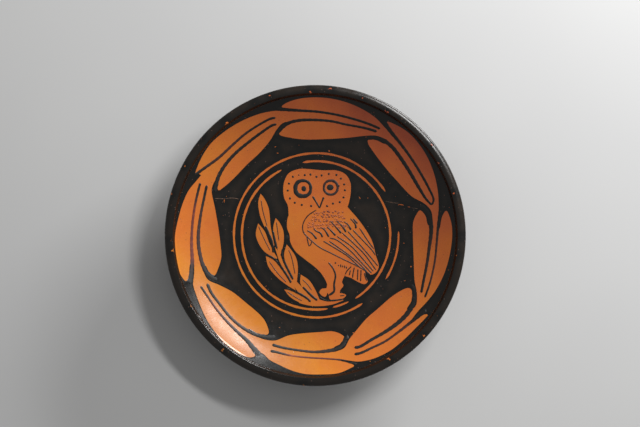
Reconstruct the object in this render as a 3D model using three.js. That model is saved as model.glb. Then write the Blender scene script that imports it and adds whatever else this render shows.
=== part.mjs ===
// A small Greek red-figure plate, wheel-thrown in two pieces: a shallow dish with a heavy rounded
// lip, and a ring foot that the potter luted to its underside with wet clay slip.
// Units are millimetres, +Z is up, and the origin is the centre of the foot's resting face.
import * as THREE from "three";

// Driving dimensions: each is set by itself.
const rimDiameter = 181; // across the outside of the lip
const lipWidth = 5.1; // lip, from its inner edge to the outside
const lipDepth = 6.8; // lip, from its crown down to its underside
const lipStep = 2.4; // how far the lip's crown stands above the wall inside
const lipStepRun = 1.0; // how far the step leans outwards as it rises
const lipEdgeRound = 1.2; // rounding of the lip's outer edges
const lipInnerRound = 0.5; // rounding of the lip's inner edge
const lipCrownFall = 0.55; // how far the domed crown falls towards the outside
const floorFlatRadius = 46; // flat picture floor inside the dish
const wallCurveRadius = 76; // the wall sweeps up from the floor on this arc
const wallThickness = 5.2; // thickness of the floor and of the wall
const footHeight = 11; // ring foot, without the slip above it
const footTopRadius = 43; // outside of the foot where it meets the slip
const footTopWidth = 8.5; // width of the foot's top face
const footBulge = 1.4; // how far the foot's outer face swells past its top
const footRestWidth = 4.8; // width of the flat ring that stands on the table
const footRestSetback = 1.0; // resting ring, in from the foot's top outside edge
const footEdgeRound = 0.9; // rounding of the two edges beside the resting ring
const slipThickness = 0.6; // layer of slip between the foot and the dish
const slipSqueeze = 1.1; // how far the slip was pressed out past the foot on each side

// Smoothness of the turned surfaces.
const turns = 72;
const arcStep = 9; // degrees on small roundings
const sweepStep = 3.4; // degrees on the long curve of the wall

// Heights that follow from the sizes above.
const undersideHeight = footHeight + slipThickness;
const floorHeight = undersideHeight + wallThickness;
const rimRadius = rimDiameter / 2;

// Points along an arc about (r, z), angles in degrees from +r towards +z.
function arc(r, z, radius, from, to, step = arcStep) {
  const count = Math.max(2, Math.round(Math.abs(to - from) / step));
  return Array.from({ length: count + 1 }, (_, i) => {
    const angle = THREE.MathUtils.degToRad(from + ((to - from) * i) / count);
    return new THREE.Vector2(r + radius * Math.cos(angle), z + radius * Math.sin(angle));
  });
}

// A turned solid whose profile, of radius and height, runs anticlockwise round the clay.
function turned(profile) {
  const geometry = new THREE.LatheGeometry(profile, turns);
  geometry.rotateX(Math.PI / 2);
  return geometry;
}

// The dish: flat floor, wall on one arc, and the lip as a domed bead with a step inside.
function dishProfile() {
  const curveHeight = floorHeight + wallCurveRadius; // centre of the wall's arc
  const lipInner = rimRadius - lipWidth;
  const wallTopRadius = lipInner - lipStepRun;
  const sweep = THREE.MathUtils.radToDeg(
    Math.asin((wallTopRadius - floorFlatRadius) / wallCurveRadius),
  );
  const wallTop = curveHeight - wallCurveRadius * Math.cos(THREE.MathUtils.degToRad(sweep));
  const crown = wallTop + lipStep;
  const lipUnder = crown - lipDepth;
  const outerRadius = wallCurveRadius + wallThickness;
  // The outside of the wall stops where it reaches the lip's underside.
  const outerSweep = THREE.MathUtils.radToDeg(Math.acos((curveHeight - lipUnder) / outerRadius));

  const underside = arc(floorFlatRadius, curveHeight, outerRadius, -90, -90 + outerSweep, sweepStep);
  const lipBottom = arc(rimRadius - lipEdgeRound, lipUnder + lipEdgeRound, lipEdgeRound, -90, 0, 30);
  const lipOutside = arc(
    rimRadius - lipEdgeRound, crown - lipCrownFall - lipEdgeRound, lipEdgeRound, 0, 68, 17,
  );
  // The crown is one shallow arc, highest two fifths of the way out.
  const crownCentre = lipInner + lipInnerRound + (lipWidth - lipInnerRound - lipEdgeRound) * 0.4;
  const lipCrown = [
    new THREE.Vector2((crownCentre + rimRadius - lipEdgeRound) / 2, crown - lipCrownFall * 0.22),
    new THREE.Vector2(crownCentre, crown),
  ];
  const lipInside = arc(
    lipInner + lipInnerRound, crown - lipInnerRound - lipCrownFall * 0.2, lipInnerRound, 90, 160, 23,
  );
  const wall = arc(floorFlatRadius, curveHeight, wallCurveRadius, -90 + sweep, -90, sweepStep);
  return [
    new THREE.Vector2(0, undersideHeight),
    ...underside,
    ...lipBottom,
    ...lipOutside,
    ...lipCrown,
    ...lipInside,
    ...wall,
    new THREE.Vector2(0, floorHeight),
  ];
}

// The ring foot: swelling outer face, flat resting ring, and an inner face that splays outwards.
function footProfile() {
  const restOuter = footTopRadius - footRestSetback;
  const restInner = restOuter - footRestWidth;
  const topInner = footTopRadius - footTopWidth;
  const swell = new THREE.QuadraticBezierCurve(
    new THREE.Vector2(restOuter + footEdgeRound, footEdgeRound),
    new THREE.Vector2(footTopRadius + footBulge * 2, footHeight * 0.42),
    new THREE.Vector2(footTopRadius, footHeight),
  );
  return [
    ...arc(restInner, footEdgeRound, footEdgeRound, -150, -90, 20),
    ...arc(restOuter, footEdgeRound, footEdgeRound, -90, -30, 20),
    ...swell.getPoints(9),
    new THREE.Vector2(topInner, footHeight),
  ];
}

// The slip: a thin ring under the dish whose squeezed-out edges taper from the dish to the foot.
function slipProfile() {
  const inner = footTopRadius - footTopWidth;
  return [
    new THREE.Vector2(inner, footHeight),
    new THREE.Vector2(footTopRadius, footHeight),
    new THREE.Vector2(footTopRadius + slipSqueeze * 0.45, footHeight + slipThickness * 0.45),
    new THREE.Vector2(footTopRadius + slipSqueeze, undersideHeight),
    new THREE.Vector2(inner - slipSqueeze, undersideHeight),
    new THREE.Vector2(inner - slipSqueeze * 0.45, footHeight + slipThickness * 0.45),
  ];
}

// A profile that goes round clay on its own ends where it began.
function closed(profile) {
  return [...profile, profile[0].clone()];
}

// Fired black gloss over orange clay; the slip shows as bare clay.
const blackGloss = new THREE.MeshStandardMaterial({ color: 0x211d19, roughness: 0.35, metalness: 0 });
const bareClay = new THREE.MeshStandardMaterial({ color: 0xc4703a, roughness: 0.7, metalness: 0 });

const plate = new THREE.Group();

function piece(name, geometry, material) {
  const mesh = new THREE.Mesh(geometry, material);
  mesh.name = name;
  plate.add(mesh);
}

piece("thrown_dish", turned(dishProfile()), blackGloss);
piece("ring_foot", turned(closed(footProfile())), blackGloss);
piece("luting_slip", turned(closed(slipProfile())), bareClay);

export default plate;
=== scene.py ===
import math
import random

import bpy
import numpy as np
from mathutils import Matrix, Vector
from mathutils.geometry import delaunay_2d_cdt
from mathutils.kdtree import KDTree


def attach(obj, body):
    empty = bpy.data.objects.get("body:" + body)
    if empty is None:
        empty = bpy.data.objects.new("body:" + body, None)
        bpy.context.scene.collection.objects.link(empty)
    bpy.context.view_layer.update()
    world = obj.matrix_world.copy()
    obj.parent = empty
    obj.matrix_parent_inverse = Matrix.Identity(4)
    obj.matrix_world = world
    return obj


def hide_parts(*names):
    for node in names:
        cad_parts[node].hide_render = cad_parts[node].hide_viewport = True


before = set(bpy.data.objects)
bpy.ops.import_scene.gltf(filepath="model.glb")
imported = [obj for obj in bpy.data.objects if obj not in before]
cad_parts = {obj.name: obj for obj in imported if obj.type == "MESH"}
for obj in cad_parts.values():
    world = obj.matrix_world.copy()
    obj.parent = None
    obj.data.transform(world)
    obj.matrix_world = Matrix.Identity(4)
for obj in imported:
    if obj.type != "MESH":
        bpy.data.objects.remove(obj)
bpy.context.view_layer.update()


# The dish: orange clay thrown on the wheel in one, with a flat floor, a wall that sweeps up on
# one arc and a heavy rounded lip. It was turned, rubbed smooth and painted before firing.
# Lengths of the painted dish are in millimetres and turn into metres when a mesh is made.
MM = 0.001
RIM_RADIUS = 90.5
LIP_WIDTH = 5.1
LIP_ROUNDING = 1.2
STEP_ROUNDING = 0.5
FLOOR_HEIGHT = 16.8
FLOOR_RADIUS = 46.0  # where the wall's arc begins
WALL_CURVE = 76.0
WALL_TOP_RADIUS = 84.4  # where the step of the lip begins
CLAY_THICKNESS = 5.2
UNDERSIDE_HEIGHT = FLOOR_HEIGHT - CLAY_THICKNESS
CROWN_HEIGHT = 29.6
LIP_UNDERSIDE = 22.82
GLOSS_DEPTH = 0.06
VIEW_DISTANCE = 1500.0  # the painting was measured from straight above at this distance


def floor_height(radius):
    """Height of the dish's inside at a radius, on the flat floor or on the wall's arc."""
    past = max(0.0, min(radius, WALL_TOP_RADIUS) - FLOOR_RADIUS)
    return FLOOR_HEIGHT + WALL_CURVE - math.sqrt(WALL_CURVE**2 - past**2)


def on_plate(radius, angle, height):
    """A point in metres, with the slight droop of a lip shaped by hand."""
    share = (radius / RIM_RADIUS) ** 3
    droop = share * (0.05 + 0.03 * math.sin(2 * angle + 0.7) + 0.02 * math.sin(3 * angle))
    return (
        radius * math.cos(angle) * MM,
        radius * math.sin(angle) * MM,
        (height - droop) * MM,
    )


def arc(r, z, radius, start, end, count):
    """Points along an arc about (r, z), from one angle to another in degrees."""
    angles = np.radians(np.linspace(start, end, count + 1))
    return [(r + radius * math.cos(a), z + radius * math.sin(a)) for a in angles]


def lip_profile():
    """The lip's skin, from the step inside, over the crown and down to its underside."""
    inner = RIM_RADIUS - LIP_WIDTH
    edge = RIM_RADIUS - LIP_ROUNDING
    foot_of_step = [
        (WALL_TOP_RADIUS, floor_height(WALL_TOP_RADIUS)),
        (inner - 0.4, CROWN_HEIGHT - 1.2),
    ]
    step = arc(inner + STEP_ROUNDING, CROWN_HEIGHT - 0.61, STEP_ROUNDING, 162, 92, 5)
    crown = [
        (inner + 1.3, CROWN_HEIGHT - 0.02),
        (inner + 2.1, CROWN_HEIGHT),
        (inner + 3.1, CROWN_HEIGHT - 0.1),
    ]
    outside = arc(edge, CROWN_HEIGHT - 1.75, LIP_ROUNDING, 68, 0, 8)
    below = arc(edge, LIP_UNDERSIDE + LIP_ROUNDING, LIP_ROUNDING, 0, -90, 8)
    return foot_of_step + step + crown + outside + below


def outside_profile():
    """The wall's outside, from under the lip in to the edge beside the foot."""
    centre = FLOOR_HEIGHT + WALL_CURVE
    curve = WALL_CURVE + CLAY_THICKNESS
    top = -90 + math.degrees(math.acos((centre - LIP_UNDERSIDE) / curve))
    return arc(FLOOR_RADIUS, centre, curve, top, -90, 22)


def set_in(profile, depth):
    """The same profile, moved into the clay by a depth."""
    line = np.array(profile)
    along = np.gradient(line, axis=0)
    across = np.stack([along[:, 1], -along[:, 0]], axis=1)
    across /= np.linalg.norm(across, axis=1)[:, None]
    return [tuple(p) for p in line + across * depth]


def make_piece(name, points, faces, material, sharp=40):
    """A smooth-shaded mesh that rides on the plate's one body."""
    mesh = bpy.data.meshes.new(name)
    mesh.from_pydata(points, [], faces)
    mesh.validate()
    mesh.shade_smooth()
    mesh.set_sharp_from_angle(angle=math.radians(sharp))
    mesh.materials.append(material)
    piece = bpy.data.objects.new(name, mesh)
    bpy.context.collection.objects.link(piece)
    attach(piece, "root")
    return piece


def turn(name, profile, material, turns=288, closed=False, place=on_plate):
    """A turned solid: a closed ring, or a profile that starts and ends on the axis."""
    rows = profile if closed else profile[1:-1]
    points = [place(r, 2 * math.pi * i / turns, z) for r, z in rows for i in range(turns)]
    faces = []
    for row in range(len(rows) if closed else len(rows) - 1):
        after = (row + 1) % len(rows)
        for i in range(turns):
            j = (i + 1) % turns
            faces.append((row * turns + i, row * turns + j, after * turns + j, after * turns + i))
    if not closed:
        points += [(0, 0, profile[0][1] * MM), (0, 0, profile[-1][1] * MM)]
        first, last, end = len(points) - 2, len(points) - 1, (len(rows) - 1) * turns
        for i in range(turns):
            j = (i + 1) % turns
            faces.append((first, j, i))
            faces.append((last, end + i, end + j))
    return make_piece(name, points, faces, material)


def srgb(red, green, blue):
    """A colour as it looks on a screen, 0 to 255, as the shader's linear colour."""
    parts = [c / 255 for c in (red, green, blue)]
    return [c / 12.92 if c <= 0.04 else ((c + 0.055) / 1.055) ** 2.4 for c in parts] + [1.0]


class Finish:
    """A material, with the few node chains that clay and gloss are both made of."""

    def __init__(self, name):
        self.material = bpy.data.materials.new(name)
        self.material.use_nodes = True
        self.tree = self.material.node_tree
        self.shader = self.tree.nodes["Principled BSDF"]
        self.place = self.tree.nodes.new("ShaderNodeTexCoord").outputs["Object"]

    def add(self, kind, **inputs):
        made = self.tree.nodes.new(kind)
        for name, value in inputs.items():
            self.feed(made.inputs[name], value)
        return made

    def feed(self, socket, value):
        if isinstance(value, bpy.types.NodeSocket):
            self.tree.links.new(value, socket)
        else:
            socket.default_value = value

    def noise(self, size, detail=3.0, rough=0.55):
        """Noise whose lumps are about a size in millimetres."""
        made = self.add("ShaderNodeTexNoise", Vector=self.place, Scale=1 / (size * MM))
        made.inputs["Detail"].default_value = detail
        made.inputs["Roughness"].default_value = rough
        return made.outputs["Fac"]

    def specks(self, size, reach):
        """1 in small scattered spots of a spacing, 0 between them."""
        made = self.add("ShaderNodeTexVoronoi", Vector=self.place, Scale=1 / (size * MM))
        near = self.sums("LESS_THAN", made.outputs["Distance"], reach)
        rare = self.sums("GREATER_THAN", self.split(made.outputs["Color"]), 0.72)
        return self.sums("MULTIPLY", near, rare)

    def split(self, colour):
        return self.add("ShaderNodeSeparateColor", Color=colour).outputs[0]

    def sums(self, operation, first, second):
        made = self.tree.nodes.new("ShaderNodeMath")
        made.operation = operation
        self.feed(made.inputs[0], first)
        self.feed(made.inputs[1], second)
        return made.outputs[0]

    def range(self, value, low, high, to_low=0.0, to_high=1.0):
        made = self.tree.nodes.new("ShaderNodeMapRange")
        for socket, number in zip(made.inputs, (value, low, high, to_low, to_high)):
            self.feed(socket, number)
        return made.outputs[0]

    def ramp(self, value, *stops):
        made = self.add("ShaderNodeValToRGB", Fac=value)
        marks = made.color_ramp.elements
        while len(marks) < len(stops):
            marks.new(0.5)
        for mark, (position, colour) in zip(marks, stops):
            mark.position, mark.color = position, colour
        return made.outputs["Color"]

    def mix(self, share, first, second):
        made = self.tree.nodes.new("ShaderNodeMix")
        made.data_type = "RGBA"
        self.feed(made.inputs["Factor"], share)
        self.feed(made.inputs[6], first)
        self.feed(made.inputs[7], second)
        return made.outputs[2]

    def bump(self, height, depth):
        """Relief of a depth in millimetres."""
        made = self.add("ShaderNodeBump", Height=height, Distance=depth * MM)
        self.feed(self.shader.inputs["Normal"], made.outputs["Normal"])


def fired_clay(name):
    """Burnished orange clay, yellower at the lower left and darker and redder towards the upper right:
    partly the clay's own tint, partly painted shade.
    """
    clay = Finish(name)
    # Partly the clay's redder tint and partly painted shade: the colour runs darker and redder towards
    # the upper right.
    apart = clay.add("ShaderNodeSeparateXYZ", Vector=clay.place).outputs
    rightwards = clay.sums("MULTIPLY", apart[0], 7.0)
    upwards = clay.sums("MULTIPLY", apart[1], 9.6)
    slant = clay.sums("ADD", rightwards, upwards)
    lean = clay.sums("MULTIPLY", clay.sums("POWER", slant, 3.0), 0.5)
    drift = clay.range(clay.noise(32), 0.3, 0.7, -0.1, 0.1)
    tint_and_shade = clay.sums("ADD", clay.sums("ADD", lean, 0.5), drift)
    tone = clay.ramp(
        tint_and_shade,
        (0.08, srgb(190, 116, 52)),
        (0.32, srgb(205, 124, 38)),
        (0.52, srgb(203, 108, 42)),
        (0.70, srgb(188, 92, 46)),
        (0.92, srgb(156, 70, 42)),
    )
    grain = clay.noise(0.7, 5.0, 0.7)
    tone = clay.mix(clay.range(grain, 0.52, 0.75, 0.0, 0.35), tone, srgb(158, 82, 40))
    streak = clay.range(clay.noise(6, 6.0, 0.7), 0.56, 0.74, 0.0, 0.4)
    tone = clay.mix(streak, tone, srgb(176, 82, 44))
    spots = clay.specks(3.1, 0.1)
    tone = clay.mix(clay.sums("MULTIPLY", spots, 0.6), tone, srgb(116, 62, 38))
    clay.feed(clay.shader.inputs["Base Color"], tone)
    clay.feed(clay.shader.inputs["Roughness"], clay.range(clay.noise(5), 0.3, 0.7, 0.22, 0.31))
    clay.bump(clay.sums("SUBTRACT", grain, spots), 0.025)
    return clay.material


reserved_clay = fired_clay("reserved_clay")
inside_radii = list(np.linspace(WALL_TOP_RADIUS, FLOOR_RADIUS, 26)) + [38, 30, 22, 14, 7, 2]
dish_inside = [(r, floor_height(r)) for r in inside_radii]
dish_skin = outside_profile()[::-1] + lip_profile()[::-1] + dish_inside[1:]
clay_profile = [(r, UNDERSIDE_HEIGHT) for r in (0, 20, 34)] + set_in(dish_skin, -GLOSS_DEPTH)
clay_profile.append((0, FLOOR_HEIGHT - GLOSS_DEPTH))
dish = turn("dish_clay", clay_profile, reserved_clay)
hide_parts("thrown_dish")


# The wreath: eight pairs of olive leaves round the wall, left as bare clay when the black ground
# was brushed in round them. Each pair grows out of the stem of the pair before it.
# Each list runs from one notch beside the stem, round a leaf's outer edge and tip, to the next.
outer_leaf_edges = [
    [(-20, 74.6), (-24, 74.8), (-32, 73.4), (-40, 70.6), (-48, 66.6), (-56, 61.2), (-62.5, 55.4),
     (-67, 49), (-70.4, 42), (-72, 36.8), (-70.6, 37.4)],
    [(-68.5, 36.2), (-72, 32), (-76, 27), (-79.6, 19), (-82.2, 10), (-84, 1), (-84.1, -9),
     (-82.4, -19.5), (-80.2, -24.5), (-77.5, -27.4), (-75.9, -24.5), (-74.9, -17)],
    [(-72.8, -17), (-72.6, -22), (-73.3, -29), (-71.3, -36), (-68.6, -43), (-65, -50.6),
     (-60, -58), (-53.5, -65.2), (-46, -70.6), (-39, -73.1), (-35.9, -72), (-37.6, -69.6)],
    [(-34.6, -69.4), (-31, -71.2), (-27.4, -74.6), (-22, -77.4), (-14, -81), (-6, -83),
     (4, -83.3), (14, -82.5), (21, -79.6), (23.4, -78.1), (20, -76.4), (15, -75)],
    [(15, -74.1), (21, -75.1), (26, -75.6), (35, -73.8), (45, -69), (53, -62.6), (60.5, -55.2),
     (66, -49.6), (67.6, -47.4), (64.6, -47.6), (57, -53.2)],
    [(57.5, -50.8), (62, -45), (66, -40.8), (72, -33.2), (77.3, -23), (80.8, -11), (82.2, 1),
     (81.3, 9), (78.6, 14.9), (76.2, 11.5), (74.4, 4)],
    [(73.4, 5), (74, 14), (73.6, 26), (71, 38), (65.6, 50), (57, 60.8), (50, 65.6),
     (43, 68.3), (44.6, 64.8), (48, 60.4)],
    [(46.4, 60.4), (42, 64.5), (36, 70.8), (26, 77), (14, 81.3), (2, 82.9), (-10, 82),
     (-18, 79.2), (-20.2, 77.2), (-17, 76.5), (-10, 75.8)],
]
inner_leaf_edges = [
    [(-13, 68.4), (-19, 67.7), (-22.7, 64.2), (-27, 57.2), (-33, 50), (-41, 42.5), (-50, 33.2),
     (-55.5, 28.5), (-58, 27), (-58.8, 29), (-58, 34)],
    [(-59.6, 34), (-61.6, 30), (-62.2, 26.6), (-60.3, 17), (-58.2, 5), (-56.8, -6), (-56.4, -13),
     (-58.2, -19.6), (-60.6, -24), (-63.6, -22), (-66, -18)],
    [(-67.8, -20), (-64.5, -26.4), (-57, -30), (-49.5, -34), (-42.5, -39.6), (-33, -47.8),
     (-29.8, -52), (-27.9, -58.4), (-29, -59.5), (-34, -59), (-40, -56)],
    [(-38, -59.6), (-30, -62.5), (-24, -63), (-16, -60), (-8, -58.8), (4, -57.9), (10, -57.5),
     (15, -59), (17.8, -61.6), (15.8, -64.6), (11, -67.5)],
    [(12, -69.8), (17.5, -67.4), (20.5, -62.2), (25, -56.6), (31, -49.6), (37.5, -44), (48, -35.2),
     (56, -31.5), (58, -33.2), (57.8, -39), (55, -44.4)],
    [(57.4, -45), (60.4, -42), (61, -35), (59.6, -27), (59.1, -15), (58.6, 0), (58.8, 8),
     (60.8, 12.8), (62.8, 15.1), (66, 12), (67.9, 6)],
    [(70.6, 7), (69.6, 14.5), (66, 18.8), (58, 23.4), (49.5, 32.2), (41, 42), (34, 51.4),
     (31.8, 55), (31.6, 57.2), (36, 57.4), (42, 55)],
    [(43, 57.5), (37, 59.8), (31, 59.9), (20, 58.7), (8, 57.9), (-6, 57.6), (-14, 58.5),
     (-21.6, 60.7), (-20, 64), (-15, 66.8)],
]


def distances(line):
    """How far along a line each of its points lies."""
    steps = np.linalg.norm(np.diff(line, axis=0), axis=1)
    return np.concatenate([[0], np.cumsum(steps)])


def sideways(along):
    """Directions of length 1, to the left of each direction along a line."""
    across = np.stack([-along[:, 1], along[:, 0]], axis=1)
    return across / np.maximum(np.linalg.norm(across, axis=1), 1e-6)[:, None]


def smooth(points, step=0.8):
    """Even points along the smooth curve through given points."""
    knots = np.array(points, float)
    spans = np.sqrt(np.linalg.norm(np.diff(knots, axis=0), axis=1))
    times = np.concatenate([[0], np.cumsum(spans)])
    slopes = np.gradient(knots, times, axis=0)
    line = []
    for i, span in enumerate(spans):
        for t in np.arange(0, 1, 0.1):
            line.append(
                (2 * t**3 - 3 * t**2 + 1) * knots[i]
                + (t**3 - 2 * t**2 + t) * span * slopes[i]
                + (3 * t**2 - 2 * t**3) * knots[i + 1]
                + (t**3 - t**2) * span * slopes[i + 1]
            )
    line = np.array(line + [knots[-1]])
    travelled = distances(line)
    even = np.linspace(0, travelled[-1], max(3, round(travelled[-1] / step)) + 1)
    return np.stack([np.interp(even, travelled, line[:, k]) for k in (0, 1)], axis=1)


def outline(runs, step=0.8):
    """A closed outline of smooth runs that meet in corners, each starting where the last ends."""
    around = [smooth(list(run) + [runs[(i + 1) % len(runs)][0]], step) for i, run in enumerate(runs)]
    return np.concatenate([run[:-1] for run in around])


wreath_outside = outline(outer_leaf_edges)
wreath_inside = outline(inner_leaf_edges)


# The rings round the picture: two thin circles of clay left bare between strokes of black, with
# gaps where the brush was lifted. They are a little right of the dish's centre. Each is given as
# a radius, two angles and a width.
RING_SHIFT = 0.4
ring_gaps = [
    (49.7, 31.8, 305.0, 1.25),
    (49.9, -32.0, 3.0, 1.15),
    (44.9, -57.8, 100.0, 1.3),
    (44.9, 117.0, 280.0, 1.35),
    (44.6, 283.5, 297.0, 1.2),
]


def ring_band(radius, start, end, width):
    """A curved band that narrows to a point at both ends, with a brush's slight waver."""
    count = round(radius * math.radians(end - start) / 0.9)
    angles = np.radians(np.linspace(start, end, count + 1))
    travelled = (angles - angles[0]) * radius
    narrowing = np.clip(np.minimum(travelled, travelled[-1] - travelled) / 2.5, 0, 1) ** 0.6
    half = width / 2 * narrowing * (1 + 0.1 * np.sin(angles * 23) + 0.06 * np.sin(angles * 61))
    middle = radius + 0.1 * np.sin(angles * 5 + 1) + RING_SHIFT * (np.cos(angles) - 1)
    both = [(middle + half, angles), ((middle - half)[-2:0:-1], angles[-2:0:-1])]
    return np.concatenate([np.stack([r * np.cos(a), r * np.sin(a)], axis=1) for r, a in both])


ring_bands = [ring_band(*gap) for gap in ring_gaps]


# The owl: left bare in the flat middle of the dish, seen from the side with its face turned to
# the front. Its body, its spread tail and its two feet were outlined first, then filled round.
owl_body = outline([
    [(-16, 12), (-16.5, 18), (-18.7, 22.7), (-19, 30.7), (-16, 37.2), (-9.7, 39.9), (-3.3, 39.8),
     (4.7, 39.1), (12.7, 39), (18, 36.8), (21, 32), (21.3, 26), (20, 19)],
    [(19.3, 17.2), (22.1, 14), (26.1, 9.3), (31.9, 0.9), (34.7, -5), (36.2, -11.4), (38.1, -18.9),
     (35.8, -22.7), (32.9, -23.5), (29.4, -21.1), (24.6, -18.6)],
    [(21.4, -18.2), (17.9, -23.7), (16.1, -28), (16.9, -30.1), (15, -32.8), (14.4, -35)],
    [(8.4, -36), (6.7, -33.4), (6.7, -31.6), (7.1, -29.4), (3.8, -23.1), (0.3, -19.4),
     (-6.9, -13.8), (-12, -9.4), (-15, -3.8), (-15.4, 0.1), (-16.9, 4.5), (-16.7, 10.1)],
], 0.6)
owl_tail = outline([
    [(21.7, -18), (17.9, -23.7)],
    [(18.2, -24.5), (21.4, -25.5), (25.9, -28), (29.7, -29.2), (31.5, -27.6), (30.4, -24.7)],
    [(29.8, -21.2), (26.5, -19.3)],
], 0.6)
owl_near_foot = outline([
    [(8.4, -34.8), (10.8, -34.6), (16.6, -34.8), (18.5, -35.8), (16.8, -37.7), (12.4, -38.5),
     (8.9, -38.4), (8.2, -36.5)],
], 0.5)
owl_far_foot = outline([
    [(6.9, -31.6), (3.6, -32.2), (2.5, -34.3), (4.4, -36.4), (6.1, -36.8), (7.2, -34.6)],
], 0.5)


# The olive sprig behind the owl and the strip of ground under it: narrow leaves left bare, each
# given as its tip, its left edge going down and its right edge coming back up.
sprig_leaves = [
    [[(-32.8, 25.1), (-34.2, 20), (-33.3, 12.5), (-31.4, 7.2)],
     [(-28.2, 0.6), (-24.6, -6.4), (-25.4, -1.6), (-26.7, 5), (-28, 16.4), (-30.8, 22.6)]],
    [[(-34.3, 7.3), (-35.7, 1), (-34.3, -4.1), (-31, -9.2)],
     [(-26.4, -12.6), (-22.8, -14), (-24.8, -10), (-27.6, -4.6), (-30.2, 2.2), (-32.6, 5.4)]],
    [[(-23.8, 10.5), (-25.2, 5), (-24.8, -0.2), (-22.6, -8.5)],
     [(-21.6, -13.5), (-20.2, -9.4), (-18.9, -3.6), (-19.2, 2.9), (-21.6, 8)]],
    [[(-17.2, -5.3), (-18.7, -11.9), (-16.9, -18.7), (-13.6, -26.4)],
     [(-11.4, -31), (-10.8, -25.6), (-10.4, -19.5), (-11.5, -13.4), (-14.9, -8)]],
    [[(-29.8, -12.2), (-28.2, -18.6), (-22.8, -25.2), (-16.4, -30.2)],
     [(-11.6, -33), (-14, -28.4), (-19.4, -21.2), (-24.7, -15)]],
    [[(-8.7, -23.4), (-8.9, -29), (-5, -34.3), (-0.4, -39)],
     [(2.6, -38.4), (-0.1, -32.4), (-3.6, -27)]],
    [[(-18.7, -32.4), (-15.2, -36.8), (-8.9, -40.4), (-3, -41.4)],
     [(-3.2, -39), (-7.4, -36.6), (-14.8, -32.9)]],
]
sprig = [outline(leaf, 0.6) for leaf in sprig_leaves]
ground_strip = outline([
    [(2, -38.2), (6, -39.4), (12.4, -39.3), (15.6, -38.5)],
    [(17.2, -38.8), (10.8, -41.3), (3.5, -42.4), (-3.6, -42.1), (-10, -40.2)],
    [(-6, -39.6), (-2, -38.8)],
], 0.6)


def stem(points, widths):
    """A narrow bare band along a curve, with its widths from one end to the other."""
    line = smooth(points, 0.8)
    width = np.interp(np.linspace(0, 1, len(line)), np.linspace(0, 1, len(widths)), widths)
    across = sideways(np.gradient(line, axis=0)) * (width / 2)[:, None]
    return np.concatenate([line + across, (line - across)[::-1]])


stem_path = [(0, -40.6), (-6, -35.6), (-12, -29), (-16.4, -22.4), (-20.9, -14), (-24, -7)]
sprig_stem = stem(stem_path, (5.5, 4.2, 3.2, 2.6, 2.4, 0.6))


# The black gloss inside: a fine clay slip that turned black and shiny in the kiln, brushed over
# the whole inside except for the figures, so its edges are their outlines. Small chips and
# scrapes have broken through it to the clay.
BEVEL_WIDTH = 0.3
GLOSS_SINK = 0.03  # how far the hidden side of the gloss reaches into the clay
GLOSS_CLEARANCE = 0.008  # keeps the gloss just under the dish's measured skin
FIRST_LINE = 0.4  # how far from an outline the line beside it was brushed
FIRST_LINE_WIDTH = 0.35
THIN_FROM = 1.2  # how far from an outline the ground starts to thin, and over what distance
THIN_OVER = 3.5
THINNING = 0.36
chance = random.Random(5)
scrapes = [
    (51.6, 18.4, 3.4, 0.55, -8), (56.2, 17.1, 1.6, 0.4, -12), (-54.6, 20.6, 0.5, 2.6, 5),
    (-22.6, 49.4, 1.3, 0.5, 10), (8.4, 50.6, 0.9, 1.2, 30), (53.2, -4.6, 0.8, 0.6, 0),
    (-24, 53.2, 1.4, 0.5, 15), (30.4, 59, 0.7, 0.4, 0), (75.6, 38, 0.8, 0.9, 0),
    (26.6, 22.6, 0.5, 1.8, 35), (46, -71.6, 1.1, 0.5, 30), (-29.4, -30.4, 0.5, 0.5, 0),
    (22.8, -58.4, 0.7, 0.8, 0), (57.4, -18.6, 0.9, 1.1, 0), (53.8, -27.2, 0.8, 0.5, 20),
]


def chip(x, y, long, wide, turned=0.0):
    """The ragged outline of a flake that has come off."""
    corners = []
    for i in range(9):
        angle = 2 * math.pi * i / 9
        reach = chance.uniform(0.6, 1.1)
        a, b = reach * long * math.cos(angle) / 2, reach * wide * math.sin(angle) / 2
        lean = math.radians(turned)
        corners.append((x + a * math.cos(lean) - b * math.sin(lean),
                        y + a * math.sin(lean) + b * math.cos(lean)))
    return np.array(corners)


def scattered_chips(count, low, high):
    """Small chips spread evenly by area between two radii."""
    made = []
    for _ in range(count):
        radius = math.sqrt(chance.uniform(low**2, high**2))
        angle = chance.uniform(0, 2 * math.pi)
        size = chance.uniform(0.25, 0.6)
        made.append(chip(radius * math.cos(angle), radius * math.sin(angle), size, size))
    return made


def within(points, loop):
    """Which points lie inside a closed loop."""
    x, y = points[:, 0], points[:, 1]
    found = np.zeros(len(points), bool)
    for (ax, ay), (bx, by) in zip(loop, np.roll(loop, -1, axis=0)):
        if ay != by:
            crossed = ((ay > y) != (by > y)) & (x < (bx - ax) * (y - ay) / (by - ay) + ax)
            found ^= crossed
    return found


def painted(point, lift):
    """A painted point on the dish, in metres, lifted off the clay by a height.
    What lies deeper is a little larger than it looks from where it was measured."""
    seen = math.hypot(*point)
    radius = seen * (1 + (CROWN_HEIGHT - floor_height(seen)) / VIEW_DISTANCE)
    height = floor_height(radius) - GLOSS_DEPTH + lift
    return on_plate(radius, math.atan2(point[1], point[0]), height)


def lay_slip(piece, values):
    """Notes how thick the slip was brushed on at each point, for the gloss to be coloured by."""
    slip = piece.data.attributes.new("slip", "FLOAT", "POINT")
    slip.data.foreach_set("value", values)


def join_seam(spots, faces, seam):
    """The faces, with the points at the band's far end swapped for those at its near end."""
    first = {round(y, 4): i for i, (x, y) in enumerate(spots) if x < 1e-4}
    same = np.arange(len(spots))
    for i, (x, y) in enumerate(spots):
        if x > seam - 1e-4:
            same[i] = first[round(y, 4)]
    return same[faces]


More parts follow.
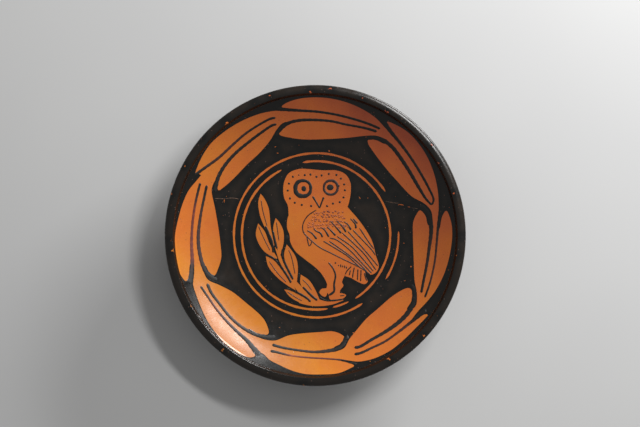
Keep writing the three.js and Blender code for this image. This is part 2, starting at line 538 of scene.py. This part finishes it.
def coat(name, loops, bare, fill, place, material, relief=0.0, seam=None):
    """A thin closed skin over everything that isn't bare, with a bevelled edge at its outlines
    and, beside them, the slightly raised line that was brushed on first. Where a seam is given,
    the skin goes all the way round, and its two ends are joined there."""
    rim = np.concatenate(loops)
    edges, start = [], 0
    for loop in loops:
        edges += [(start + i, start + (i + 1) % len(loop)) for i in range(len(loop))]
        start += len(loop)
    tree = KDTree(len(rim))
    for i, (x, y) in enumerate(rim):
        tree.insert((x, y, 0), i)
    tree.balance()
    beside = [p for p in fill if tree.find((p[0], p[1], 0))[2] > 0.22]
    flat = [Vector(p) for p in rim] + [Vector(p) for p in beside]
    flat, _, faces, *_ = delaunay_2d_cdt(flat, edges, [], 0, 1e-4)
    spots = np.array([tuple(p) for p in flat])
    corners = np.array(faces)
    faces = corners[~bare(spots[corners].mean(axis=1))]
    if seam:
        faces = join_seam(spots, faces, seam)
    used = np.unique(faces)
    number = np.full(len(spots), -1)
    number[used] = np.arange(len(used))
    faces, spots = number[faces], spots[used]
    away = [tree.find((x, y, 0))[2] for x, y in spots]
    top, bottom = [], []
    for spot, distance in zip(spots, away):
        edge = min(1.0, 0.45 + distance / BEVEL_WIDTH)
        ridge = relief * math.exp(-(((distance - FIRST_LINE) / FIRST_LINE_WIDTH) ** 2))
        top.append(place(spot, GLOSS_DEPTH * edge + ridge - GLOSS_CLEARANCE))
        bottom.append(place(spot, -GLOSS_SINK))
    count = len(spots)
    sides = {}
    for a, b, c in faces:
        for pair in ((a, b), (b, c), (c, a)):
            sides[pair] = True
    walls = [(a, a + count, b + count, b) for a, b in sides if (b, a) not in sides]
    upper = [tuple(int(i) for i in face) for face in faces]
    lower = [(c + count, b + count, a + count) for a, b, c in upper]
    walls = [tuple(int(i) for i in wall) for wall in walls]
    piece = make_piece(name, top + bottom, upper + lower + walls, material)
    depth = [1.0 - THINNING * min(1.0, max(0.0, d - THIN_FROM) / THIN_OVER) for d in away]
    lay_slip(piece, depth + depth)


def black_gloss(name, ground=True):
    """Gloss: deep black where it is thick, brown to red where the brush left it thin.
    The ground shines more than the lines do, and is still dark where lines are red-brown."""
    gloss = Finish(name)
    slip = gloss.tree.nodes.new("ShaderNodeAttribute")
    slip.attribute_name = "slip"
    cloud = gloss.range(gloss.noise(11, 5.0, 0.65), 0.3, 0.7, -0.1, 0.1)
    thick = gloss.sums("ADD", slip.outputs["Fac"], cloud)
    tone = gloss.ramp(
        thick,
        (0.05, srgb(176, 92, 48)),
        (0.25, srgb(104, 44, 34)),
        (0.45, srgb(41, 32, 25)) if ground else (0.5, srgb(62, 36, 32)),
        (0.75, srgb(27, 23, 19)),
        (0.95, srgb(16, 15, 13)),
    )
    mottle = gloss.range(gloss.noise(2.2, 6.0, 0.7), 0.6, 0.78, 0.0, 0.22)
    tone = gloss.mix(mottle, tone, srgb(70, 48, 36))
    dust = gloss.specks(2.0, 0.13)
    tone = gloss.mix(gloss.sums("MULTIPLY", dust, 0.6), tone, srgb(112, 80, 66))
    gloss.feed(gloss.shader.inputs["Base Color"], tone)
    low_rough, high_rough = (0.2, 0.3) if ground else (0.42, 0.52)
    rough = gloss.range(gloss.noise(4, 5.0, 0.6), 0.3, 0.7, low_rough, high_rough)
    rough = gloss.sums("ADD", rough, gloss.sums("MULTIPLY", dust, 0.3))
    gloss.feed(gloss.shader.inputs["Roughness"], rough)
    skin = gloss.sums("ADD", gloss.noise(1.1, 4.0, 0.6), gloss.sums("MULTIPLY", dust, 0.7))
    gloss.bump(skin, 0.02)
    return gloss.material


ground_gloss = black_gloss("ground_gloss")
chips = [chip(*scrape) for scrape in scrapes] + scattered_chips(46, 20, 83)
figures = [owl_body, owl_tail, owl_near_foot, owl_far_foot, ground_strip, sprig_stem]
figures += sprig + ring_bands + chips
edge_depth = CROWN_HEIGHT - floor_height(WALL_TOP_RADIUS)
edge_radius = WALL_TOP_RADIUS * (1 - edge_depth / VIEW_DISTANCE)
edge_angles = np.linspace(0, 2 * math.pi, 420, endpoint=False)
dish_edge = edge_radius * np.stack([np.cos(edge_angles), np.sin(edge_angles)], axis=1)


def bare_inside(centres):
    """Where the clay was left bare: the wreath between its two outlines, and every figure."""
    found = within(centres, wreath_outside) & ~within(centres, wreath_inside)
    for figure in figures:
        found |= within(centres, figure)
    return found | ~within(centres, dish_edge * 1.0001)


inside_loops = [dish_edge, wreath_outside, wreath_inside] + figures
fill = []
for radius in np.arange(1.2, edge_radius - 0.8, 1.5):
    count = max(6, round(2 * math.pi * radius / 1.7))
    turned_by = radius * 2.4
    for i in range(count):
        angle = turned_by + 2 * math.pi * i / count
        fill.append((radius * math.cos(angle), radius * math.sin(angle)))
for loop in inside_loops[1:]:
    across = sideways(np.roll(loop, -1, axis=0) - np.roll(loop, 1, axis=0))
    for distance in (-0.4, 0.4, -0.95, 0.95):
        beside = (loop + across * distance)[::1 if abs(distance) < 0.5 else 2]
        fill += [tuple(p) for p in beside if np.hypot(*p) < edge_radius - 0.4]
coat("gloss_inside", inside_loops, bare_inside, fill, painted, ground_gloss, relief=0.03)


# The black gloss on the lip and the outside of the wall, brushed on in one band while the plate
# turned on the wheel. It is unrolled to paint it: distance round the rim against distance down
# the profile. The lip has lost the most flakes, from knocks.
lip_to_foot = lip_profile() + outside_profile()[1:]
down = np.array(lip_to_foot)
down_length = distances(down)
inward = np.array(set_in(lip_to_foot, 1.0)) - down
unrolled = 2 * math.pi * RIM_RADIUS
columns = 300


def wrapped(point, lift):
    """A point of the unrolled band, put back round the plate and lifted off the clay."""
    r, z, r_in, z_in = (
        np.interp(point[1], down_length, values)
        for values in (down[:, 0], down[:, 1], inward[:, 0], inward[:, 1])
    )
    deep = GLOSS_DEPTH - lift
    angle = -2 * math.pi * (point[0] / unrolled)
    return on_plate(r + r_in * deep, angle, z + z_in * deep)


lip_chips = []
for degrees, reach, long, wide in (
    (60, 2.2, 1.6, 1.1), (92, 3.4, 1.3, 0.9), (71, 4.2, 0.9, 1.2), (128, 3.0, 1.8, 1.0),
    (17, 3.8, 1.2, 1.4), (352, 2.4, 1.0, 0.8), (231, 4.6, 1.5, 0.9), (301, 3.6, 1.3, 1.2),
    (186, 3.2, 1.1, 1.5), (38, 5.6, 2.4, 0.9), (84, 5.8, 1.7, 0.8), (152, 5.6, 1.3, 0.9),
):
    lip_chips.append(chip(unrolled * (1 - degrees / 360), reach, long, wide))
for _ in range(40):
    along_rim = unrolled * chance.uniform(0.005, 0.995)
    size = chance.uniform(0.2, 0.42)
    lip_chips.append(chip(along_rim, chance.triangular(0.8, 60, 4), size, size))
grid_x = np.linspace(0, unrolled, columns + 1)
band_edge = [(x, 0.0) for x in grid_x] + [(unrolled, y) for y in down_length[1:-1]]
band_edge += [(x, down_length[-1]) for x in grid_x[::-1]] + [(0.0, y) for y in down_length[-2:0:-1]]
band_fill = [(x, y) for x in grid_x[1:-1] for y in down_length[1:-1]]


def bare_band(centres):
    """Where the band has flaked off to the clay."""
    found = np.zeros(len(centres), bool)
    for flake in lip_chips:
        found |= within(centres, flake)
    return found


band_loops = [np.array(band_edge)] + lip_chips
band = (bare_band, band_fill, wrapped, ground_gloss)
coat("gloss_lip_and_outside", band_loops, *band, seam=unrolled)


# The black lines of the wreath: two to a pair of leaves, laid over the bare clay with a full
# brush that starts round, thins to red-brown where the slip ran out, and ends in the ground.
# Each is given as its points, its widths and its thickness of slip from start to end.
wreath_lines = [
    ([(-23.8, 70.7), (-27, 70), (-34, 66.3), (-42, 61), (-50, 54), (-58, 46.6), (-66, 40.8),
      (-72.4, 36.2)], (1.3, 1.2, 1.4, 1.5, 1.6), (1, 0.7, 0.5, 0.6, 0.8)),
    ([(-23.2, 66.8), (-26, 66), (-32, 62), (-40, 56), (-48, 49.2), (-54, 42.4), (-58, 35.5),
      (-59.8, 28.6), (-60, 26)], (1.3, 1.5, 1.7, 2.0, 2.4), (1, 0.9, 0.8, 0.7, 0.9)),
    ([(-69, 31.6), (-70.2, 27), (-72.2, 18), (-73.8, 6), (-74.2, -6), (-73.8, -15), (-74.2, -22),
      (-75, -29)], (1.3, 1.3, 1.4, 2.0, 3.4), (1, 0.28, 0.26, 0.3, 1.0)),
    ([(-65.1, 30.2), (-66.4, 24), (-68.8, 12), (-70.2, 0), (-69.8, -8), (-67.4, -18),
      (-64.4, -23.2), (-59, -27)], (1.4, 1.4, 1.9, 2.1, 3.2), (1, 0.6, 0.55, 0.6, 1.0)),
    ([(-68.8, -30.4), (-65, -36), (-59, -44.6), (-53, -51.6), (-47, -57.6), (-41, -63),
      (-37.2, -67.6), (-33.4, -71.8)], (1.2, 1.1, 1.4, 2.0, 3.4), (0.9, 0.35, 0.5, 0.8, 1.0)),
    ([(-64.9, -28.8), (-62.5, -34.2), (-57, -41.6), (-51, -49), (-44, -55), (-36, -59.4),
      (-28, -61), (-24, -61)], (1.7, 1.4, 1.6, 1.9, 2.6), (1, 0.7, 0.6, 0.7, 1.0)),
    ([(-27, -69.3), (-24, -69.8), (-16, -71.8), (-6, -73.1), (8, -74), (16, -74.8), (21.5, -76.3),
      (25, -77)], (1.5, 0.9, 0.8, 0.8, 1.3), (1, 0.2, 0.25, 0.4, 0.9)),
    ([(-25.9, -65.5), (-20, -67.2), (-8, -69.2), (0, -69.9), (8, -69.2), (13.5, -67.8),
      (17.2, -64.4), (19.4, -60)], (1.6, 1.2, 1.4, 2.2, 3.0), (1, 0.7, 0.55, 0.8, 1.0)),
    ([(23.4, -71.3), (27, -70.6), (34, -67.4), (42, -63.5), (50, -57.8), (57, -52.3), (61, -49),
      (66.4, -44.4)], (1.5, 1.2, 1.2, 1.6, 3.0), (1, 0.6, 0.5, 0.65, 1.0)),
    ([(23.4, -67.3), (26.5, -66.8), (34, -62.4), (42, -57.8), (50, -52.1), (55.5, -46.4),
      (59, -39.6), (59.2, -33), (57.6, -29.4)], (1.6, 1.6, 2.3, 2.8, 2.4), (1, 0.8, 0.75, 0.9, 1)),
    ([(65.7, -37.2), (68, -31), (70, -24), (71.8, -15), (72.9, -4), (73.7, 5), (74.7, 11),
      (76, 18)], (1.1, 1.0, 1.1, 1.4, 3.0), (0.9, 0.45, 0.5, 0.7, 1.0)),
    ([(63.6, -34.4), (64.8, -28), (67, -17), (68.4, -7), (69.5, 2), (69.2, 8), (67.2, 13.6),
      (63, 18.2)], (1.4, 1.5, 1.8, 2.5, 3.2), (1, 0.7, 0.65, 0.85, 1.0)),
    ([(69.9, 18.3), (71, 21.4), (68, 28.6), (62, 39.4), (56, 48.6), (50, 56.6), (45.4, 62.2),
      (41, 68.4)], (1.0, 1.4, 1.4, 1.7, 2.6), (1, 0.9, 0.8, 0.9, 1.0)),
    ([(69.8, 18.3), (66.4, 22), (62, 29), (56, 39.2), (50, 48.2), (46, 53.2), (41, 57),
      (35, 58.7), (30.5, 58.4)], (1.1, 1.9, 2.1, 2.2, 2.4), (1, 0.9, 0.85, 0.9, 1.0)),
    ([(39, 64), (33, 66.6), (26, 69), (14, 72.2), (2, 74.2), (-10, 75), (-17, 75.4), (-23, 76)],
     (1.4, 1.3, 1.3, 1.4, 1.8), (1, 0.9, 0.9, 0.95, 1.0)),
    ([(37, 62.4), (30, 64.4), (18, 66.7), (10, 68.5), (0, 69.3), (-10, 69), (-16.5, 67.2),
      (-21.6, 63), (-24, 59.6)], (1.5, 1.2, 1.4, 1.7, 2.2), (1, 0.9, 0.9, 0.95, 1.0)),
]


BRUSH_SPREAD = 0.1  # how far the slip spread to each side of a stroke
BRUSH_WAVER = 0.07
BEAD = ((-1.0, -0.1), (-0.86, 0.3), (0.0, 1.0), (0.86, 0.3), (1.0, -0.1), (0.0, -1.5))


def stroke(points, widths, slip, step=0.7, relief=0.02, tapered=False):
    """One brush stroke as a thin closed bead: its points, its faces and its slip at each point.
    Its ends are round, or drawn out to a point where it is tapered."""
    line = smooth(points, step)
    across = sideways(np.gradient(line, axis=0))
    travelled = distances(line)
    share = travelled / travelled[-1]
    widths = np.atleast_1d(widths)
    half = np.interp(share, np.linspace(0, 1, len(widths)), widths) / 2 + BRUSH_SPREAD
    slip = np.atleast_1d(slip)
    thick = np.interp(share, np.linspace(0, 1, len(slip)), slip)
    ends = np.minimum(travelled, travelled[-1] - travelled)
    reach = half * (4.0 if tapered else 1.0)
    close = np.clip(1 - ends / np.maximum(reach, 1e-6), 0, 1)
    half = half * np.sqrt(np.maximum(1 - close**2, 0.02))
    half *= 1 + BRUSH_WAVER * np.sin(travelled * 1.9 + points[0][0])
    top, faces, shade = [], [], []
    for middle, side, spread, value in zip(line, across, half, thick):
        for offset, lift in BEAD:
            bead = relief * lift + (GLOSS_DEPTH if lift > 0 else 0.0)
            top.append(painted(middle + side * spread * offset, bead))
            shade.append(value * (1.0 if abs(offset) < 0.9 else 0.75))
    size = len(BEAD)
    for i in range(len(line) - 1):
        for k in range(size):
            n = (k + 1) % size
            faces.append((i * size + n, i * size + k, (i + 1) * size + k, (i + 1) * size + n))
    last = (len(line) - 1) * size
    faces.append(tuple(range(size)))
    faces.append(tuple(last + k for k in reversed(range(size))))
    return top, faces, shade


def brush_strokes(name, strokes, material):
    """A piece of separate strokes, each with the slip it was painted with."""
    points, faces, shades = [], [], []
    for top, sides, shade in strokes:
        start = len(points)
        points += top
        faces += [tuple(start + i for i in side) for side in sides]
        shades += shade
    piece = make_piece(name, points, faces, material, sharp=75)
    lay_slip(piece, shades)


line_gloss = black_gloss("line_gloss", ground=False)
brush_strokes("wreath_lines", [stroke(*line) for line in wreath_lines], line_gloss)


# The owl's eyes, beak and dotted face: thick black slip laid on the bare clay with a fine brush.
# Each eye is a ring round a dot, and each dot of the face is one touch of the brush's tip.
DOT_RELIEF = 0.02
DOT_EDGE = ((0.75, GLOSS_DEPTH + 0.01), (1.0, -0.002), (0.8, -GLOSS_SINK))


def eye_ring(x, y, wide, high, squareness, line_width, slip=1.0):
    """What a stroke needs to ring an eye: between round and square, its ends overlapping."""
    angles = np.linspace(0.9, 0.9 + 2.16 * math.pi, 36)
    power = 2 / squareness
    return (
        [(x + wide * math.copysign(abs(math.cos(a)) ** power, math.cos(a)),
          y + high * math.copysign(abs(math.sin(a)) ** power, math.sin(a))) for a in angles],
        line_width, slip, 0.4,
    )


def dot(x, y, radius, slip=1.0, sides=14):
    """One touch of the brush: a low round bead."""
    points = [painted((x, y), DOT_RELIEF + GLOSS_DEPTH)]
    for reach, lift in DOT_EDGE:
        for i in range(sides):
            angle = 2 * math.pi * i / sides
            swell = radius * reach * (1 + 0.07 * math.sin(2 * angle + x * 3))
            points.append(painted((x + swell * math.cos(angle), y + swell * math.sin(angle)), lift))
    faces = [(0, 1 + i, 1 + (i + 1) % sides) for i in range(sides)]
    for row in (1, 1 + sides):
        for i in range(sides):
            j = (i + 1) % sides
            faces.append((row + i, row + sides + i, row + sides + j, row + j))
    faces.append(tuple(1 + 2 * sides + i for i in reversed(range(sides))))
    return points, faces, [slip] * len(points)


face_dots = [
    (-13.4, 35.2), (-10, 36.2), (-6.3, 36.2), (-2.9, 36.5), (0.7, 35.2), (3.8, 36), (8.1, 36.9),
    (12.7, 36.3), (15.4, 34.1), (17.3, 30.6), (17.8, 27.1), (17, 22.8), (14.7, 20), (10.6, 19.1),
    (7.1, 17.6), (-2.5, 17.7), (-8.1, 18.3), (-12.3, 19.6), (-15.2, 22.2), (-16.5, 26.9),
    (-15.8, 31.1),
]
face_strokes = [
    stroke(*eye_ring(-7.35, 28.2, 4.6, 4.65, 2.3, (1.4, 2.3, 2.6, 1.7, 1.4))),
    stroke(*eye_ring(9.3, 28.7, 4.15, 4.2, 2.1, (1.6, 1.2, 1.3, 1.3, 1.6), 0.62)),
    stroke([(-1.6, 23.5), (0.4, 20.2), (2.6, 16.4)], (1.0, 0.7, 0.8), 1.0, 0.4),
    stroke([(2.6, 16.4), (3.8, 19.6), (5.1, 23)], (0.8, 0.7, 1.0), 1.0, 0.4),
    stroke([(13.4, 29.2), (14.6, 30)], 0.9, 1.0, 0.3),
    dot(-6.9, 28, 1.6), dot(8.9, 28.8, 2.0), dot(-17, -1, 1.5),
]
face_strokes += [dot(x, y, 0.42 if x == -10 else 0.68) for x, y in face_dots]
brush_strokes("owl_face", face_strokes, line_gloss)


# The owl's feathers: fine lines with thin slip, drawn over the wing, tail and leg from the
# shoulder outwards. The short strokes on the shoulder end in a blot, and above them lie rows of
# small worn dabs.
FINE_RELIEF = 0.012
wing_outline = [
    [(0.7, 15.3), (-4.6, 11.6), (-7.4, 6.6), (-7.1, 2.1), (-2.9, -2.6), (2.7, -7.2), (9.4, -10.6),
     (17.4, -14.6), (26.9, -19.2), (33, -23.4)],
    [(-5.1, -0.3), (-4.5, -3.4), (-3.6, -6.3), (-2.5, -5), (-2.1, -3)],
]
shoulder_strokes = [
    [(-4.9, 2.9), (-2.1, 1.3), (0.9, -2.2)], [(-1.1, 4.1), (0.7, 2.5), (3.1, 1.3), (4.4, -1.1)],
    [(3.1, 4.9), (5.4, 3.5), (8.2, -0.9)], [(7, 5.1), (9, 3.3), (12.2, -0.1)],
    [(9, 8.7), (11.4, 6.1), (15.6, 1.3)], [(12.6, 8.9), (16.6, 4.9), (18.5, 1.9)],
    [(17.2, 8.3), (19.3, 6.7), (21.5, 3.3)], [(21.1, 10.1), (24.1, 6.5), (24.4, 4.1)],
    [(22.7, 10.1), (25.3, 7.1)],
]
flight_strokes = [
    [(4.8, -3.4), (14.2, -9), (19.7, -12.6), (27.5, -19.9)],
    [(8.4, -3.4), (19.7, -11.4), (26.1, -16.6), (31.3, -22.1)],
    [(8.6, -1.5), (12.6, -2.6), (20.9, -9), (27.5, -16), (33.9, -22.7)],
    [(13, -0.5), (21.7, -6.6), (26.9, -12.2), (34.9, -21.5)],
    [(16, 1.7), (24.1, -5.8), (29.3, -11), (36.5, -20.8)],
    [(19.5, 2.5), (27.7, -6.6), (32.5, -12.2), (37.6, -18.3)],
    [(22.5, 3.3), (30.5, -5), (34.8, -9.8), (36, -12)],
    [(26.5, 4.5), (31.7, -3.4), (35.2, -8.2)],
]
tail_strokes = [
    [(21.6, -18.7), (19.2, -21.1), (17.9, -23.4)], [(21.1, -20.8), (20.4, -24)],
    [(23.5, -19.1), (22.7, -22.7), (22.4, -25.5)], [(25.6, -20.2), (25.3, -26.9)],
    [(27.5, -20.5), (27.2, -27.5)], [(29.4, -22.4), (30.4, -26), (31.2, -27.2)],
    [(14, -17.5), (14, -18.5)], [(15.3, -17.2), (15.3, -19.2)], [(16.4, -17.8), (16.4, -19.2)],
    [(17.6, -17.9), (17.6, -19.6)], [(18.7, -18.5), (18.7, -20)],
]
leg_lines = [
    ([(7.9, -16.2), (10.7, -19.9), (12.1, -24), (11.3, -29.2), (11.2, -33.6), (8.3, -35.9)],
     (0.6, 0.9, 1.3), 0.9),
    ([(2.2, -36.8), (6, -38.9), (12.4, -38.9), (16.4, -38.3)], (0.7, 0.9, 0.7), 0.9),
    ([(14.8, -36.2), (17.6, -36)], 0.4, 0.8),
]
feathers = []
for line in wing_outline:
    feathers.append(stroke(line, 0.5, (0.6, 0.75, 0.6), 0.5, FINE_RELIEF, tapered=True))
for line in shoulder_strokes:
    feathers.append(stroke(line, (0.5, 0.7, 1.1), (0.6, 1.0), 0.4, FINE_RELIEF))
for line in flight_strokes:
    feathers.append(stroke(line, 0.54, (0.9, 0.85, 0.8), 0.5, FINE_RELIEF, tapered=True))
for line in tail_strokes:
    feathers.append(stroke(line, 0.5, 0.85, 0.4, FINE_RELIEF))
for points, widths, slip in leg_lines:
    feathers.append(stroke(points, widths, slip, 0.5))
feathers.append(dot(12.1, -16.5, 0.5))
for row in range(6):
    for column in range(17 - row):
        x = -4.5 + row * 0.9 + column * 1.5 + chance.uniform(-0.7, 0.7)
        y = 5.4 + row * 1.75 + chance.uniform(-0.8, 0.8) - abs(x - 8) * 0.06
        scallop = [(x - 0.5, y + 0.5), (x - 0.1, y - 0.25), (x + 0.6, y + 0.2)]
        worn = chance.uniform(0.04, 0.24)
        feathers.append(stroke(scallop, (chance.uniform(0.35, 0.8),) * 2, worn, 0.4, 0.008))
brush_strokes("owl_feathers", feathers, line_gloss)


# The lines of the sprig: black strokes that part the leaves from the stem and from each other,
# and a faint thin rib down the middle of each leaf.
parting_strokes = [
    [(-29.9, 5.6), (-27.9, 0.8), (-26, -4.1), (-25.2, -10.4)],
    [(-25.5, 2.7), (-24.5, -2.2), (-23, -8)],
    [(-30.4, -11.6), (-26.5, -12.9), (-23, -15.8), (-16.7, -24.6), (-14.5, -28.5)],
    [(-19.6, -8), (-19.9, -11.9), (-18.2, -16.8), (-13.3, -26.5)],
    [(-9.9, -22.6), (-9.9, -26)],
    [(-17.7, -31.7), (-13.8, -32.9), (-5, -37.7), (-2.8, -39.9)],
    [(-7.5, -30.9), (-1.6, -36.8), (1.3, -39)],
]
leaf_ribs = [
    [(-32.5, 21.2), (-31.6, 15.4), (-28.9, 5.6)], [(-34, 5.6), (-31.8, 0.3), (-27.2, -9)],
    [(-23.3, 8), (-22.6, 2.7), (-21.8, -3.1)], [(-16, -8.5), (-14.3, -12.9), (-12.1, -23.1)],
    [(-27.6, -15.6), (-22.6, -22.6), (-17.4, -28)], [(-7.7, -26.5), (-5, -29), (-2.1, -32.9)],
    [(-16.7, -33.8), (-12.3, -36.8), (-7.9, -39.2)],
]
sprig_strokes = [stroke(line, (1.0, 1.25, 1.1), 0.95, 0.5) for line in parting_strokes]
sprig_strokes += [stroke(line, 0.3, (0.5, 0.6, 0.5), 0.5, 0.01, tapered=True) for line in leaf_ribs]
brush_strokes("sprig_lines", sprig_strokes, line_gloss)


# The cracks: hairlines that run in from the lip through the gloss, one on the left and one on
# the right, with a little pale soil left in them.
soil = Finish("crack_soil")
soil_tone = soil.ramp(soil.noise(1.5), (0.35, srgb(58, 46, 38)), (0.65, srgb(112, 84, 66)))
soil.feed(soil.shader.inputs["Base Color"], soil_tone)
soil.shader.inputs["Roughness"].default_value = 0.8
soil.bump(soil.noise(0.5), 0.02)
cracks = [
    [(-83.6, 26.4), (-79.5, 25.9)],
    [(-60.4, 22.2), (-55, 22), (-50, 22.4), (-45.8, 21.8)],
    [(42, 20.6), (46.5, 19.6), (50.2, 19.3)],
    [(57.6, 16.6), (61.4, 16)],
    [(-64.6, 61.8), (-62.4, 59.2)],
]
crack_lines = [stroke(line, 0.22, 0.5, 0.5, tapered=True) for line in cracks]
brush_strokes("hairline_cracks", crack_lines, soil.material)


# The ring foot: thrown by itself and turned, with a swelling outer face under black gloss. The
# narrow ring that it stands on was wiped clean.
FOOT_HEIGHT = 11.0
FOOT_RADIUS = 43.0
FOOT_TOP_WIDTH = 8.5
REST_INSET = 1.0
REST_WIDTH = 4.8
REST_ROUNDING = 0.9
FOOT_TURNS = 240


def flat_plate(radius, angle, height):
    """A point of the foot in metres, true to the wheel."""
    return (radius * math.cos(angle) * MM, radius * math.sin(angle) * MM, height * MM)


def swell(start, pull, end, count):
    """A curve drawn from one point to another towards a third."""
    shares = np.linspace(0, 1, count + 1)
    return [
        tuple((1 - t) ** 2 * a + 2 * (1 - t) * t * b + t**2 * c for a, b, c in zip(start, pull, end))
        for t in shares
    ]


rest_outer = FOOT_RADIUS - REST_INSET
rest_inner = rest_outer - REST_WIDTH
foot_inner_top = FOOT_RADIUS - FOOT_TOP_WIDTH
foot_heel = (rest_outer + 0.78, 0.45)
foot_face = swell(foot_heel, (FOOT_RADIUS + 2.6, 4.6), (FOOT_RADIUS - 0.08, FOOT_HEIGHT), 16)
foot_profile = arc(rest_inner, REST_ROUNDING, REST_ROUNDING, -150, -90, 5)
foot_profile += arc(rest_outer, REST_ROUNDING, REST_ROUNDING, -90, -30, 5)
foot_profile += foot_face[1:] + [(foot_inner_top, FOOT_HEIGHT)]
foot = turn("ring_foot_clay", foot_profile, reserved_clay, FOOT_TURNS, True, flat_plate)
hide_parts("ring_foot")
face_skin = foot_face[3:]
foot_coat = face_skin + set_in(face_skin, GLOSS_DEPTH)[::-1]
foot_gloss = turn("gloss_foot", foot_coat[::-1], ground_gloss, FOOT_TURNS, True, flat_plate)
lay_slip(foot_gloss, [0.8] * len(foot_gloss.data.vertices))


# The luting slip: wet clay that joins the foot to the dish, pressed out a little on both sides
# and wiped along with a finger, so its edge is uneven.
def pressed_slip(radius, angle, height):
    """A point of the slip, drawn in here and there from its widest."""
    uneven = 0.12 * (1 + math.sin(7 * angle) * math.sin(3 * angle + 1))
    side = 1 if radius < FOOT_RADIUS - FOOT_TOP_WIDTH / 2 else -1
    return flat_plate(radius + side * uneven, angle, height)


bulge = [(0, FOOT_HEIGHT), (0.5, 11.27), (0.9, 11.45), (1.1, UNDERSIDE_HEIGHT)]
slip_profile = [(foot_inner_top, FOOT_HEIGHT)]
slip_profile += [(FOOT_RADIUS + out, z) for out, z in bulge]
slip_profile += [(foot_inner_top - out, z) for out, z in bulge[:0:-1]]
slip_ring = turn("luting_slip_ring", slip_profile, reserved_clay, FOOT_TURNS, True, pressed_slip)
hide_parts("luting_slip")


# The circles under the plate: a black dot, a thin circle and a broad band, brushed on the bare
# underside inside the foot while the plate turned upside down on the wheel.
def under_band(name, low, high):
    """A thin flat ring of gloss on the underside."""
    hidden, shown = UNDERSIDE_HEIGHT + 0.02, UNDERSIDE_HEIGHT - 0.05
    skin = [(low, hidden), (low + 0.15, shown), (high - 0.15, shown), (high, hidden)]
    ring = turn(name, skin, ground_gloss, 160, True, flat_plate)
    lay_slip(ring, [0.85] * len(ring.data.vertices))


under_band("under_dot", 0.05, 2.1)
under_band("under_circle", 11.2, 12.3)
under_band("under_broad_band", 24.0, 31.0)


# The table and the light: a pale floor, a softbox high on the right that the wall mirrors, a
# stronger one lower on the same side, and a pale room all round.
FLOOR_REACH = 3.0  # metres, as all of this section
LAMP_DISTANCE = 0.9
floor_corners = [(FLOOR_REACH * x, FLOOR_REACH * y, 0) for x, y in ((-1, -1), (1, -1), (1, 1), (-1, 1))]
floor_mesh = bpy.data.meshes.new("floor")
floor_mesh.from_pydata(floor_corners, [], [(0, 1, 2, 3)])
paper = Finish("paper")
paper_tone = paper.ramp(paper.noise(400), (0.3, srgb(200, 200, 200)), (0.7, srgb(208, 208, 207)))
paper.feed(paper.shader.inputs["Base Color"], paper_tone)
paper.shader.inputs["Roughness"].default_value = 0.9
floor_mesh.materials.append(paper.material)
floor_object = bpy.data.objects.new("floor", floor_mesh)
bpy.context.collection.objects.link(floor_object)


def softbox(name, azimuth, from_top, wide, high, power):
    """A soft lamp that looks at the plate from a direction, given in degrees."""
    lamp = bpy.data.lights.new(name, "AREA")
    lamp.shape = "RECTANGLE"
    lamp.size, lamp.size_y, lamp.energy = wide, high, power
    holder = bpy.data.objects.new(name, lamp)
    around, tilt = math.radians(azimuth), math.radians(from_top)
    level = math.sin(tilt)
    back = Vector((level * math.cos(around), level * math.sin(around), math.cos(tilt)))
    holder.location = Vector((0, 0, 0.02)) + back * LAMP_DISTANCE
    holder.rotation_mode = "QUATERNION"
    holder.rotation_quaternion = back.to_track_quat("Z", "Y")
    bpy.context.collection.objects.link(holder)


softbox("high_softbox", 48, 41, 0.34, 0.06, 3.4)
softbox("low_softbox", 52, 77, 0.5, 0.14, 12.0)
world = bpy.data.worlds.new("room")
world.use_nodes = True
world.node_tree.nodes["Background"].inputs["Color"].default_value = (1.0, 1.0, 1.0, 1.0)
world.node_tree.nodes["Background"].inputs["Strength"].default_value = 0.25
bpy.context.scene.world = world


# The camera: straight above the plate, as the photograph faces it, with a long lens. The plate
# stands a little off the middle of the picture.
CAMERA_BESIDE = (0.00285, 0.01326)
camera_data = bpy.data.cameras.new("camera")
camera_data.sensor_width = 36.0
camera_data.lens = 140.6
camera_data.clip_start, camera_data.clip_end = 0.05, 20.0
camera = bpy.data.objects.new("camera", camera_data)
camera.location = (*CAMERA_BESIDE, (CROWN_HEIGHT + VIEW_DISTANCE) * MM)
bpy.context.collection.objects.link(camera)
bpy.context.scene.camera = camera
bpy.context.scene.view_settings.view_transform = "Standard"
